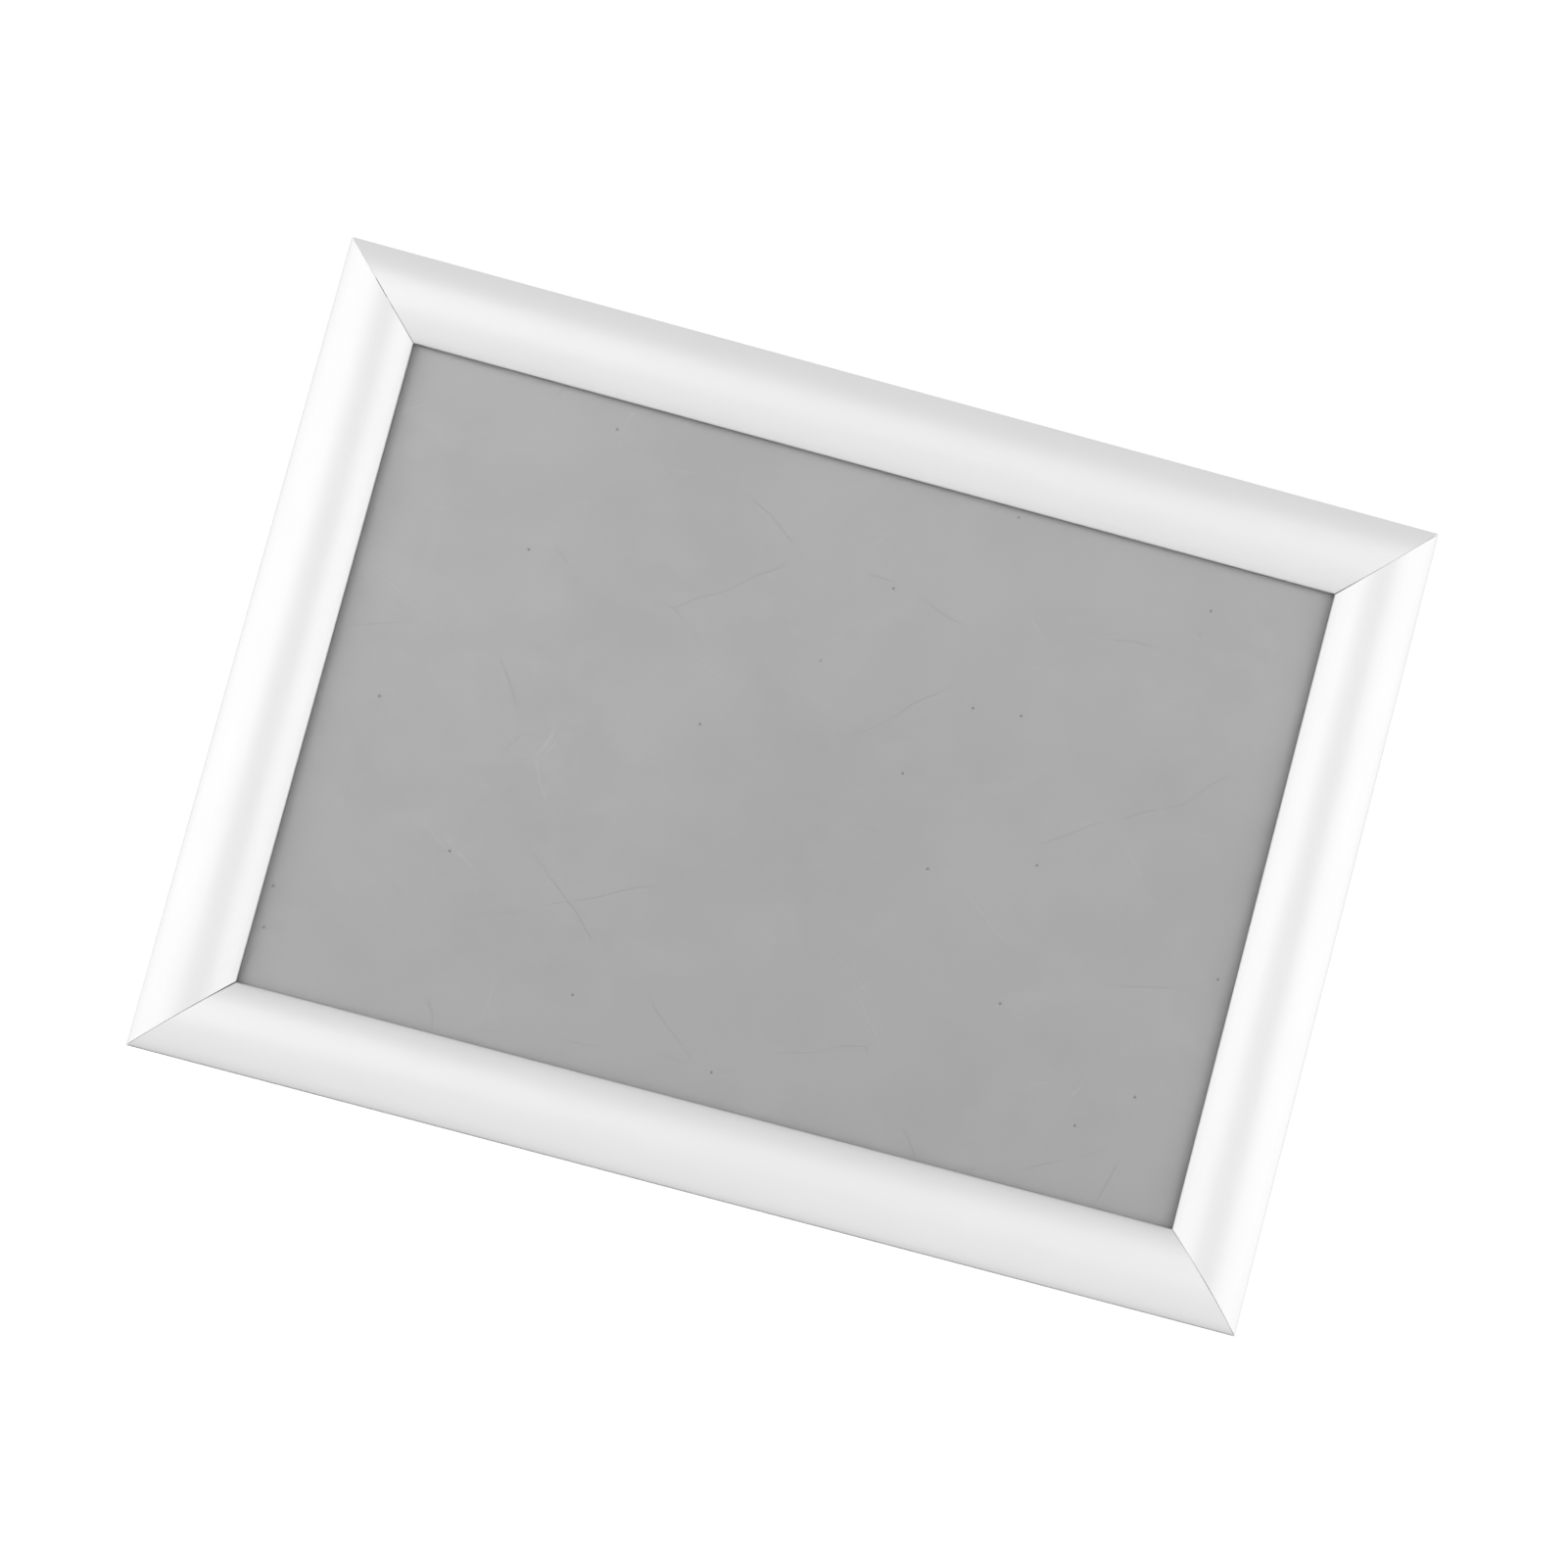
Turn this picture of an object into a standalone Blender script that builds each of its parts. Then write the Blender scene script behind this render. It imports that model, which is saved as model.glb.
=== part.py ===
"""Wall-hung A4 snap frame: four mitred aluminium rails whose spring-loaded covers flip open.

Run it with: blender --background --python part.py
Units are metres and +Z is up. The wall is the plane Y = 0, the front faces -Y, and the origin
is the centre of the frame on the wall. Each side is built in its own frame, carried by an empty:
X runs inward from the rail's outer edge, Y runs out of the wall and Z runs along the rail.
"""
import math

import bmesh
import bpy
from mathutils import Matrix, Vector

# Picture: an A4 sheet on its side
PICTURE_WIDTH = 0.297
PICTURE_HEIGHT = 0.210
PANEL_THICKNESS = 0.001        # grey polystyrene backing
SHEET_THICKNESS = 0.0005       # clear front sheet
SEAT_CLEARANCE = 0.0003        # under and over the panel and the sheet, and round their edges

# Rails
RAIL_WIDTH = 0.025
MITRE_GAP = 0.0002             # each end is cut back by this along its rail
FLOOR_THICKNESS = 0.0012       # base plate on the wall
FLOOR_INSET = 0.0013           # from the outer edge to the base plate

# Cover skin: an arch between two rounded edges
SKIN_THICKNESS = 0.001
OUTER_ARC_ANGLE = 42.0         # degrees from the crest down to the outer edge
INNER_ARC_ANGLE = 46.0         # degrees from the crest down to the picture
CREST_STEPS = 10               # from the crest to either edge
UNDERSIDE_STEPS = 14
NOSE_STEPS = 6

# Hinge: a bead along the cover in a socket along the base
BEAD_RADIUS = 0.0011
BEAD_CLEARANCE = 0.0002
SOCKET_WALL = 0.0008
SOCKET_LIFT = 0.0005           # under the socket's lowest point
SOCKET_TOP_ANGLE = 140.0       # degrees, where the socket's wall starts
SOCKET_FOOT_ANGLE = 285.0      # degrees, where it ends in the base plate
BEAD_STEPS = 18
SOCKET_STEPS = 10
BEAD_END_CLEARANCE = 0.001     # from the bead's end to the next cover's stem

# Neck and stem that join the bead to the skin
NECK_ANGLE = 36.0
STEM_THICKNESS = 0.001
STEM_CLEARANCE = 0.0003

# Toe on the bead that holds the spring's outer edge
TOE_THICKNESS = 0.00045
TOE_REACH = 0.0008
TOE_START_ANGLE = 302.0
TOE_ROOT = 0.0003              # from the bead to the toe's lower corner

# Ribs on the base: a channel for the corner keys, and a catch for the springs
RIB_INSET = 0.0078             # from the rail's outer edge to the outer rib
RIB_THICKNESS = 0.001
CHANNEL_LIP_REACH = 0.0008
CHANNEL_LIP_THICKNESS = 0.0008
CATCH_GAP = 0.0008
CATCH_REACH = 0.0005
CATCH_THICKNESS = 0.0005

# Corner keys
KEY_WIDTH = 0.0045
KEY_THICKNESS = 0.0015
KEY_LEG = 0.030
KEY_CLEARANCE = 0.0002

# Leaf springs, two on each side
SPRING_THICKNESS = 0.00035
SPRING_LENGTH = 0.020
SPRING_RISE = 0.0023
SPRING_END_CLEARANCE = 0.00025
SPRING_SPACING = 0.0108        # from the hole beside it
SPRING_STEPS = 20

# Wall screw holes in the top and bottom base rails
HOLE_RADIUS = 0.00225
HEAD_RADIUS = 0.0042           # drilled through the ribs, so that the screw's head passes
SPOT_DEPTH = 0.0002
HOLE_SPACING = 0.0073          # from the corner key's end to the hole for the screw's head
HOLE_SIDES = 24
CUT_OVERRUN = 0.001

# Meshing
STEM_STEPS = 3
TOE_STEPS = 3
WELD_DISTANCE = 0.000001
SHARP_ANGLE = 32.0             # degrees between faces that keep a sharp edge

# Materials: colour, roughness, metallic
FINISHES = {
    "satin_anodised_aluminium": ((0.80, 0.80, 0.80), 0.38, 1.0),
    "mill_finish_aluminium": ((0.62, 0.62, 0.63), 0.45, 1.0),
    "spring_steel": ((0.35, 0.36, 0.38), 0.30, 1.0),
    "zinc_plated_steel": ((0.60, 0.61, 0.62), 0.35, 1.0),
    "grey_polystyrene": ((0.37, 0.37, 0.37), 0.55, 0.0),
    "clear_pet": ((0.90, 0.90, 0.90), 0.30, 0.0),
}

# Derived places on a rail, each from its outer edge or from the wall
SKIN_HALF = SKIN_THICKNESS / 2
OUTER_REACH = math.sin(math.radians(OUTER_ARC_ANGLE))
INNER_REACH = math.sin(math.radians(INNER_ARC_ANGLE))
ARC_RADIUS = RAIL_WIDTH / (OUTER_REACH + INNER_REACH)
ARC_CENTRE_X = ARC_RADIUS * OUTER_REACH
MID_RADIUS = ARC_RADIUS - SKIN_HALF
LIP_ANGLE = math.degrees(math.asin((RAIL_WIDTH - SKIN_HALF - ARC_CENTRE_X) / MID_RADIUS))
EDGE_ANGLE = math.degrees(math.asin((ARC_CENTRE_X - SKIN_HALF) / MID_RADIUS))

PANEL_BOTTOM = FLOOR_THICKNESS + SEAT_CLEARANCE
SHEET_BOTTOM = PANEL_BOTTOM + PANEL_THICKNESS + SEAT_CLEARANCE
LIP_UNDERSIDE = SHEET_BOTTOM + SHEET_THICKNESS + SEAT_CLEARANCE
ARC_CENTRE_Y = LIP_UNDERSIDE + SKIN_HALF - MID_RADIUS * math.cos(math.radians(LIP_ANGLE))
ARC_CENTRE = Vector((ARC_CENTRE_X, ARC_CENTRE_Y))

SOCKET_INNER = BEAD_RADIUS + BEAD_CLEARANCE
SOCKET_OUTER = SOCKET_INNER + SOCKET_WALL
HINGE = Vector((SOCKET_OUTER, SOCKET_LIFT + SOCKET_OUTER))
STEM_LEFT = HINGE.x + (SOCKET_OUTER + STEM_CLEARANCE) * math.cos(math.radians(NECK_ANGLE))
STEM_RIGHT = STEM_LEFT + STEM_THICKNESS
STEM_MIDDLE = (STEM_LEFT + STEM_RIGHT) / 2
TOE_BOTTOM = FLOOR_THICKNESS + BEAD_CLEARANCE
TOE_TOP = TOE_BOTTOM + TOE_THICKNESS
TOE_END = HINGE.x + BEAD_RADIUS + TOE_REACH

CHANNEL_START = RIB_INSET + RIB_THICKNESS
CHANNEL_END = CHANNEL_START + KEY_WIDTH + 2 * KEY_CLEARANCE
CHANNEL_MIDDLE = (CHANNEL_START + CHANNEL_END) / 2
INNER_RIB = CHANNEL_END + RIB_THICKNESS
PICTURE_INSET = INNER_RIB + SEAT_CLEARANCE
CHANNEL_LIP = FLOOR_THICKNESS + KEY_THICKNESS + 2 * KEY_CLEARANCE
CHANNEL_TOP = CHANNEL_LIP + CHANNEL_LIP_THICKNESS
CATCH_LIP = CHANNEL_TOP + CATCH_GAP
CATCH_TOP = CATCH_LIP + CATCH_THICKNESS

FRAME_WIDTH = PICTURE_WIDTH + 2 * PICTURE_INSET
FRAME_HEIGHT = PICTURE_HEIGHT + 2 * PICTURE_INSET

# Derived places along a rail, each from its end
BEAD_INSET = STEM_RIGHT + BEAD_END_CLEARANCE
KEY_END = CHANNEL_START + KEY_CLEARANCE + KEY_WIDTH + KEY_LEG
HOLE_INSET = KEY_END + HOLE_SPACING + HEAD_RADIUS
SPRING_INSET = HOLE_INSET + HEAD_RADIUS + SPRING_SPACING + SPRING_LENGTH / 2

# Each side: turn about Y in degrees, rail length, span between this side and the one opposite,
# the corner at the far end of its rail, and whether it is screwed to the wall
SIDES = {
    "bottom": (0, FRAME_WIDTH, FRAME_HEIGHT, "bottom_right", True),
    "left": (90, FRAME_HEIGHT, FRAME_WIDTH, "bottom_left", False),
    "top": (180, FRAME_WIDTH, FRAME_HEIGHT, "top_left", True),
    "right": (270, FRAME_HEIGHT, FRAME_WIDTH, "top_right", False),
}


def clear_scene():
    """Remove whatever the file holds."""
    for item in list(bpy.data.objects):
        bpy.data.objects.remove(item, do_unlink=True)


def new_collection(name):
    """Add a collection to the scene."""
    collection = bpy.data.collections.new(name)
    bpy.context.scene.collection.children.link(collection)
    return collection


def new_material(name, colour, roughness, metallic):
    """Make a plain Principled material."""
    material = bpy.data.materials.new(name)
    material.use_nodes = True
    shader = material.node_tree.nodes["Principled BSDF"]
    shader.inputs["Base Color"].default_value = (*colour, 1.0)
    shader.inputs["Roughness"].default_value = roughness
    shader.inputs["Metallic"].default_value = metallic
    material.diffuse_color = (*colour, 1.0)
    return material


def polar(centre, radius, degrees):
    """Point at an angle round a centre."""
    angle = math.radians(degrees)
    return centre + Vector((math.cos(angle), math.sin(angle))) * radius


def arc(centre, radius, start, end, steps):
    """Points along an arc, both ends included."""
    return [polar(centre, radius, start + (end - start) * step / steps) for step in range(steps + 1)]


def extruded_mesh(name, outline, length):
    """Fill a closed outline in XY and extrude it to both sides along Z."""
    curve = bpy.data.curves.new(name, "CURVE")
    curve.dimensions = "2D"
    curve.fill_mode = "BOTH"
    curve.extrude = length / 2
    spline = curve.splines.new("POLY")
    spline.points.add(len(outline) - 1)
    for point, place in zip(spline.points, outline):
        point.co = (place[0], place[1], 0, 1)
    spline.use_cyclic_u = True
    carrier = bpy.data.objects.new(name, curve)
    bpy.context.scene.collection.objects.link(carrier)
    evaluated = carrier.evaluated_get(bpy.context.evaluated_depsgraph_get())
    mesh = bpy.data.meshes.new_from_object(evaluated)
    mesh.name = name
    bpy.data.objects.remove(carrier, do_unlink=True)
    bpy.data.curves.remove(curve)
    edit = bmesh.new()
    edit.from_mesh(mesh)
    bmesh.ops.remove_doubles(edit, verts=edit.verts, dist=WELD_DISTANCE)
    bmesh.ops.recalc_face_normals(edit, faces=edit.faces)
    edit.to_mesh(mesh)
    edit.free()
    return mesh


def mitre(mesh, length):
    """Cut both ends of an extrusion at 45 degrees, so that it is longest at its outer edge."""
    for vertex in mesh.vertices:
        half = length / 2 - vertex.co.x - MITRE_GAP
        vertex.co.z = math.copysign(half, vertex.co.z)


def smooth_curved_faces(mesh):
    """Shade the rounded runs smooth and keep the corners sharp."""
    mesh.shade_smooth()
    mesh.set_sharp_from_angle(angle=math.radians(SHARP_ANGLE))


def place(name, mesh, collection, parent, material):
    """Add an object to a side's frame."""
    item = bpy.data.objects.new(name, mesh)
    collection.objects.link(item)
    item.parent = parent
    if material:
        mesh.materials.clear()
        mesh.materials.append(material)
    return item


def hide_tool(item):
    """Mark an object as a cutter or guide, which is no part of the frame."""
    item.hide_render = True
    item.display_type = "WIRE"


def combine(target, tool, operation):
    """Join a tool to a solid, or cut it away, with a Boolean."""
    modifier = target.modifiers.new(f"{operation.lower()} {tool.name}", "BOOLEAN")
    modifier.operation = operation
    modifier.solver = "EXACT"
    modifier.object = tool


def base_outline():
    """Section of the base rail: plate, hinge socket, key channel and spring catch."""
    foot = polar(HINGE, SOCKET_INNER, SOCKET_FOOT_ANGLE)
    foot_slope = (foot.x - HINGE.x) / (foot.y - HINGE.y)
    foot_on_floor = HINGE.x + (FLOOR_THICKNESS - HINGE.y) * foot_slope
    corner_drop = math.sqrt(SOCKET_OUTER ** 2 - (HINGE.x - FLOOR_INSET) ** 2)
    corner_angle = 180 + math.degrees(math.atan2(corner_drop, HINGE.x - FLOOR_INSET))
    points = [
        (RAIL_WIDTH, 0),
        (RAIL_WIDTH, FLOOR_THICKNESS),
        (INNER_RIB, FLOOR_THICKNESS),
        (INNER_RIB, CATCH_TOP),
        (CHANNEL_END - CATCH_REACH, CATCH_TOP),
        (CHANNEL_END - CATCH_REACH, CATCH_LIP),
        (CHANNEL_END, CATCH_LIP),
        (CHANNEL_END, CHANNEL_TOP),
        (CHANNEL_END - CHANNEL_LIP_REACH, CHANNEL_TOP),
        (CHANNEL_END - CHANNEL_LIP_REACH, CHANNEL_LIP),
        (CHANNEL_END, CHANNEL_LIP),
        (CHANNEL_END, FLOOR_THICKNESS),
        (CHANNEL_START, FLOOR_THICKNESS),
        (CHANNEL_START, CHANNEL_LIP),
        (CHANNEL_START + CHANNEL_LIP_REACH, CHANNEL_LIP),
        (CHANNEL_START + CHANNEL_LIP_REACH, CHANNEL_TOP),
        (RIB_INSET, CHANNEL_TOP),
        (RIB_INSET, FLOOR_THICKNESS),
        (foot_on_floor, FLOOR_THICKNESS),
    ]
    points += arc(HINGE, SOCKET_INNER, SOCKET_FOOT_ANGLE, SOCKET_TOP_ANGLE, SOCKET_STEPS)
    points += arc(HINGE, SOCKET_OUTER, SOCKET_TOP_ANGLE, corner_angle, SOCKET_STEPS)
    points.append((FLOOR_INSET, 0))
    return points


def skin_outline():
    """Section of the cover's arched skin, with the stem that hangs inside it."""
    inner_radius = ARC_RADIUS - SKIN_THICKNESS
    lip = polar(ARC_CENTRE, MID_RADIUS, 90 - LIP_ANGLE)
    edge = polar(ARC_CENTRE, MID_RADIUS, 90 + EDGE_ANGLE)
    stem_right_angle = math.degrees(math.acos((STEM_RIGHT - ARC_CENTRE.x) / inner_radius))
    stem_left_angle = math.degrees(math.acos((STEM_LEFT - ARC_CENTRE.x) / inner_radius))
    points = arc(ARC_CENTRE, ARC_RADIUS, 90 + EDGE_ANGLE, 90, CREST_STEPS)
    points += arc(ARC_CENTRE, ARC_RADIUS, 90, 90 - LIP_ANGLE, CREST_STEPS)[1:]
    points += arc(lip, SKIN_HALF, 90 - LIP_ANGLE, -90 - LIP_ANGLE, NOSE_STEPS)[1:]
    points += arc(ARC_CENTRE, inner_radius, 90 - LIP_ANGLE, stem_right_angle, UNDERSIDE_STEPS)[1:]
    points.append((STEM_RIGHT, neck_height(STEM_RIGHT)))
    points.append((STEM_LEFT, neck_height(STEM_LEFT)))
    points += arc(ARC_CENTRE, inner_radius, stem_left_angle, 90 + EDGE_ANGLE, STEM_STEPS)
    points += arc(edge, SKIN_HALF, EDGE_ANGLE - 90, EDGE_ANGLE - 270, NOSE_STEPS)[1:-1]
    return points


def neck_height(across):
    """Height of the neck's centre line at a distance from the outer edge."""
    slope = math.tan(math.radians(NECK_ANGLE))
    upper = HINGE.y + (across - HINGE.x) * slope
    lower = HINGE.y + (across - HINGE.x - BEAD_RADIUS) * slope
    return (upper + lower) / 2


def bead_outline():
    """Section of the cover's hinge bead, with its neck and the toe under the spring."""
    slope = math.tan(math.radians(NECK_ANGLE))
    toe_angle = math.degrees(math.asin((TOE_TOP - HINGE.y) / BEAD_RADIUS))
    toe_start = polar(HINGE, BEAD_RADIUS, TOE_START_ANGLE)
    points = arc(HINGE, BEAD_RADIUS, NECK_ANGLE, TOE_START_ANGLE, BEAD_STEPS)
    points.append((toe_start.x + TOE_ROOT, TOE_BOTTOM))
    points.append((TOE_END, TOE_BOTTOM))
    points.append((TOE_END, TOE_TOP))
    points += arc(HINGE, BEAD_RADIUS, toe_angle, 0, TOE_STEPS)
    points.append((STEM_MIDDLE, HINGE.y + (STEM_MIDDLE - HINGE.x - BEAD_RADIUS) * slope))
    points.append((STEM_MIDDLE, HINGE.y + (STEM_MIDDLE - HINGE.x) * slope))
    return points


def spring_outline():
    """Section of a leaf spring, bowed between the cover's toe and the base's catch."""
    outer_end = Vector((HINGE.x + BEAD_RADIUS + SPRING_END_CLEARANCE, (TOE_TOP + HINGE.y) / 2))
    inner_end = Vector((CHANNEL_END - SPRING_END_CLEARANCE, (CHANNEL_TOP + CATCH_LIP) / 2))
    along = inner_end - outer_end
    across = Vector((-along.y, along.x)).normalized()
    upper = []
    lower = []
    for step in range(SPRING_STEPS + 1):
        share = step / SPRING_STEPS
        middle = outer_end + along * share + across * SPRING_RISE * math.sin(math.pi * share) ** 2
        slope = math.pi * SPRING_RISE * math.sin(2 * math.pi * share) / along.length
        normal = (across - along.normalized() * slope).normalized()
        upper.append(middle + normal * SPRING_THICKNESS / 2)
        lower.append(middle - normal * SPRING_THICKNESS / 2)
    return upper + lower[::-1]


def key_outline():
    """Outline of a corner key: X is inward from one rail, -Y inward from the other."""
    near = CHANNEL_START + KEY_CLEARANCE
    far = near + KEY_WIDTH
    return [(near, -near), (near, -KEY_END), (far, -KEY_END), (far, -far), (KEY_END, -far), (KEY_END, -near)]


def drill(base, tools, parent, along, radius, bottom, top):
    """Drill straight into the base rail from the front."""
    bpy.ops.mesh.primitive_cylinder_add(vertices=HOLE_SIDES, radius=radius, depth=top - bottom)
    tool = bpy.context.object
    tool.name = f"{base.name} drill"
    for owner in list(tool.users_collection):
        owner.objects.unlink(tool)
    tools.objects.link(tool)
    tool.parent = parent
    tool.location = (CHANNEL_MIDDLE, (bottom + top) / 2, along)
    tool.rotation_euler = (math.radians(90), 0, 0)
    hide_tool(tool)
    combine(base, tool, "DIFFERENCE")


def make_side(side, parts, tools, materials):
    """Build one side of the frame: base rail, cover, springs and the key at its far end."""
    turn, length, span, corner, screwed = SIDES[side]
    rotation = Matrix.Rotation(math.radians(turn), 4, "Y")
    axes = Matrix(((0, 0, 1, 0), (0, -1, 0, 0), (1, 0, 0, 0), (0, 0, 0, 1)))
    inward = rotation @ Vector((0, 0, 1))
    carrier = bpy.data.objects.new(f"side_{side}", None)
    parts.objects.link(carrier)
    carrier.matrix_world = Matrix.Translation(-inward * span / 2) @ rotation @ axes

    mesh = extruded_mesh(f"base_{side}", base_outline(), length)
    mitre(mesh, length)
    smooth_curved_faces(mesh)
    base = place(f"base_{side}", mesh, parts, carrier, materials["mill_finish_aluminium"])
    if screwed:
        for end in (-1, 1):
            along = end * (length / 2 - HOLE_INSET)
            spot = FLOOR_THICKNESS - SPOT_DEPTH
            drill(base, tools, carrier, along, HEAD_RADIUS, spot, CATCH_TOP + CUT_OVERRUN)
            drill(base, tools, carrier, along, HOLE_RADIUS, -CUT_OVERRUN, FLOOR_THICKNESS + CUT_OVERRUN)

    to_hinge = Matrix.Translation((-HINGE.x, -HINGE.y, 0))
    mesh = extruded_mesh(f"cover_{side}", skin_outline(), length)
    mitre(mesh, length)
    mesh.transform(to_hinge)
    smooth_curved_faces(mesh)
    cover = place(f"cover_{side}", mesh, parts, carrier, materials["satin_anodised_aluminium"])
    cover.location = (HINGE.x, HINGE.y, 0)
    mesh = extruded_mesh(f"bead_{side}", bead_outline(), length - 2 * BEAD_INSET)
    mesh.transform(to_hinge)
    smooth_curved_faces(mesh)
    bead = place(f"bead_{side}", mesh, tools, carrier, materials["satin_anodised_aluminium"])
    bead.location = cover.location
    hide_tool(bead)
    combine(cover, bead, "UNION")

    for number, end in enumerate((-1, 1), start=1):
        name = f"spring_{side}_{number}"
        mesh = extruded_mesh(name, spring_outline(), SPRING_LENGTH)
        smooth_curved_faces(mesh)
        spring = place(name, mesh, parts, carrier, materials["spring_steel"])
        spring.location = (0, 0, end * (length / 2 - SPRING_INSET))

    name = f"corner_key_{corner}"
    mesh = extruded_mesh(name, key_outline(), KEY_THICKNESS)
    key = place(name, mesh, parts, carrier, materials["zinc_plated_steel"])
    key.rotation_euler = (math.radians(90), 0, 0)
    key.location = (0, FLOOR_THICKNESS + KEY_CLEARANCE + KEY_THICKNESS / 2, length / 2)


def make_sheet(name, bottom, thickness, parts, material):
    """A flat sheet of the picture's size, lying between the bases and the covers' lips."""
    bpy.ops.mesh.primitive_cube_add(size=1)
    sheet = bpy.context.object
    sheet.name = name
    sheet.data.name = name
    for owner in list(sheet.users_collection):
        owner.objects.unlink(sheet)
    parts.objects.link(sheet)
    sheet.data.transform(Matrix.Diagonal((PICTURE_WIDTH, thickness, PICTURE_HEIGHT, 1)))
    sheet.location = (0, -(bottom + thickness / 2), 0)
    sheet.data.materials.append(material)


def main():
    """Build the whole frame."""
    clear_scene()
    parts = new_collection("snap_frame")
    tools = new_collection("snap_frame_tools")
    materials = {name: new_material(name, *finish) for name, finish in FINISHES.items()}
    for side in SIDES:
        make_side(side, parts, tools, materials)
    make_sheet("back_panel", PANEL_BOTTOM, PANEL_THICKNESS, parts, materials["grey_polystyrene"])
    make_sheet("front_sheet", SHEET_BOTTOM, SHEET_THICKNESS, parts, materials["clear_pet"])


main()
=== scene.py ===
"""Looks of the A4 snap frame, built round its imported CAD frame.

The wall is the plane Y = 0 and the front faces -Y. Each side of the frame is drawn in its own
frame: X runs inward from the rail's outer edge, Y out of the wall and Z along the rail. The shapes
that touch other parts repeat the CAD source's sizes.
"""
import math

import bmesh
import bpy
from bpy.props import FloatProperty, FloatVectorProperty, PointerProperty
from bpy.types import Operator, Panel, PropertyGroup
from mathutils import Matrix, Quaternion, Vector


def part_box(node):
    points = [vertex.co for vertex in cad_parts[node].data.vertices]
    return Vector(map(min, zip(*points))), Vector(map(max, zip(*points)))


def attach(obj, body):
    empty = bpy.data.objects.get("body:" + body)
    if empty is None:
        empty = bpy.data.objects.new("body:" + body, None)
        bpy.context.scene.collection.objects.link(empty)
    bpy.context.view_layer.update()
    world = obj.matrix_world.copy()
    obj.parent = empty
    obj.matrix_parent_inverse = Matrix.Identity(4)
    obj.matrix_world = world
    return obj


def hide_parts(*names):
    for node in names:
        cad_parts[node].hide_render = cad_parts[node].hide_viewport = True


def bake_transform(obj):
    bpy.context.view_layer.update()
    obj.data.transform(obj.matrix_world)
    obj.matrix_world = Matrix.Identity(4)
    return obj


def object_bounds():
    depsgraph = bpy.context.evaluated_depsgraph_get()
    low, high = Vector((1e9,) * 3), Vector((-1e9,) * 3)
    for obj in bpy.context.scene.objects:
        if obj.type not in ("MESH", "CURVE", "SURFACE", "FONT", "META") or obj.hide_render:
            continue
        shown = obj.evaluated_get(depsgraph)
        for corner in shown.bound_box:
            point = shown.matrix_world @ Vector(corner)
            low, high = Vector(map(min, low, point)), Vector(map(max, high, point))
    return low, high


bl_info = {
    "name": "A4 Snap Frame Looks",
    "version": (1, 0, 0),
    "blender": (4, 5, 0),
    "location": "3D View > Sidebar > Snap Frame",
    "description": "Dresses a wall-hung A4 snap frame in its metals, plastics and studio light",
    "category": "Object",
}

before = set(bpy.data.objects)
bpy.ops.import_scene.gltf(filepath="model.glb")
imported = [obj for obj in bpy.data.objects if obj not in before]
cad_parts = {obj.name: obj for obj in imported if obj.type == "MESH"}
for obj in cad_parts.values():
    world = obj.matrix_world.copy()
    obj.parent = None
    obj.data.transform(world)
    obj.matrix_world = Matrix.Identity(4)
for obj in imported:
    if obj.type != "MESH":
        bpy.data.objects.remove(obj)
CAD_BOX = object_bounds()
FRAME_LOW, FRAME_HIGH = CAD_BOX
FRAME_WIDTH = FRAME_HIGH.x - FRAME_LOW.x
FRAME_HEIGHT = FRAME_HIGH.z - FRAME_LOW.z
RAIL_LOW, RAIL_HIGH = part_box("base_bottom")
RAIL_WIDTH = RAIL_HIGH.z - RAIL_LOW.z
PANEL_LOW, PANEL_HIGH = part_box("back_panel")
SHEET_LOW, SHEET_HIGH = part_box("front_sheet")

# Cover skin: an arch between two rounded edges
SKIN_THICKNESS = 0.001
OUTER_ARC_ANGLE = 42.0         # degrees from the crest down to the outer edge
INNER_ARC_ANGLE = 46.0         # degrees from the crest down to the picture
LIP_UNDERSIDE = 0.0036
SKIN_HALF = SKIN_THICKNESS / 2
OUTER_REACH = math.sin(math.radians(OUTER_ARC_ANGLE))
ARC_RADIUS = RAIL_WIDTH / (OUTER_REACH + math.sin(math.radians(INNER_ARC_ANGLE)))
MID_RADIUS = ARC_RADIUS - SKIN_HALF
ARC_CENTRE_X = ARC_RADIUS * OUTER_REACH
LIP_ANGLE = math.degrees(math.asin((RAIL_WIDTH - SKIN_HALF - ARC_CENTRE_X) / MID_RADIUS))
EDGE_ANGLE = math.degrees(math.asin((ARC_CENTRE_X - SKIN_HALF) / MID_RADIUS))
ARC_CENTRE_Y = LIP_UNDERSIDE + SKIN_HALF - MID_RADIUS * math.cos(math.radians(LIP_ANGLE))
ARC_CENTRE = Vector((ARC_CENTRE_X, ARC_CENTRE_Y))

# Hinge, neck, stem and toe of a cover
HINGE = Vector((0.0021, 0.0026))
BEAD_RADIUS = 0.0011
SOCKET_INNER = 0.0013
SOCKET_OUTER = 0.0021
SOCKET_TOP_ANGLE = 140.0
SOCKET_FOOT_ANGLE = 285.0
NECK_ANGLE = 36.0
NECK_SLOPE = math.tan(math.radians(NECK_ANGLE))
STEM_LEFT = 0.0040416
STEM_RIGHT = 0.0050416
BEAD_INSET = 0.0060416         # the bead, neck and toe stop this far short of the rail's ends
TOE_BOTTOM = 0.0014
TOE_TOP = 0.00185
TOE_END = 0.0040
TOE_START_ANGLE = 302.0
TOE_ROOT = 0.0003

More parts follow.
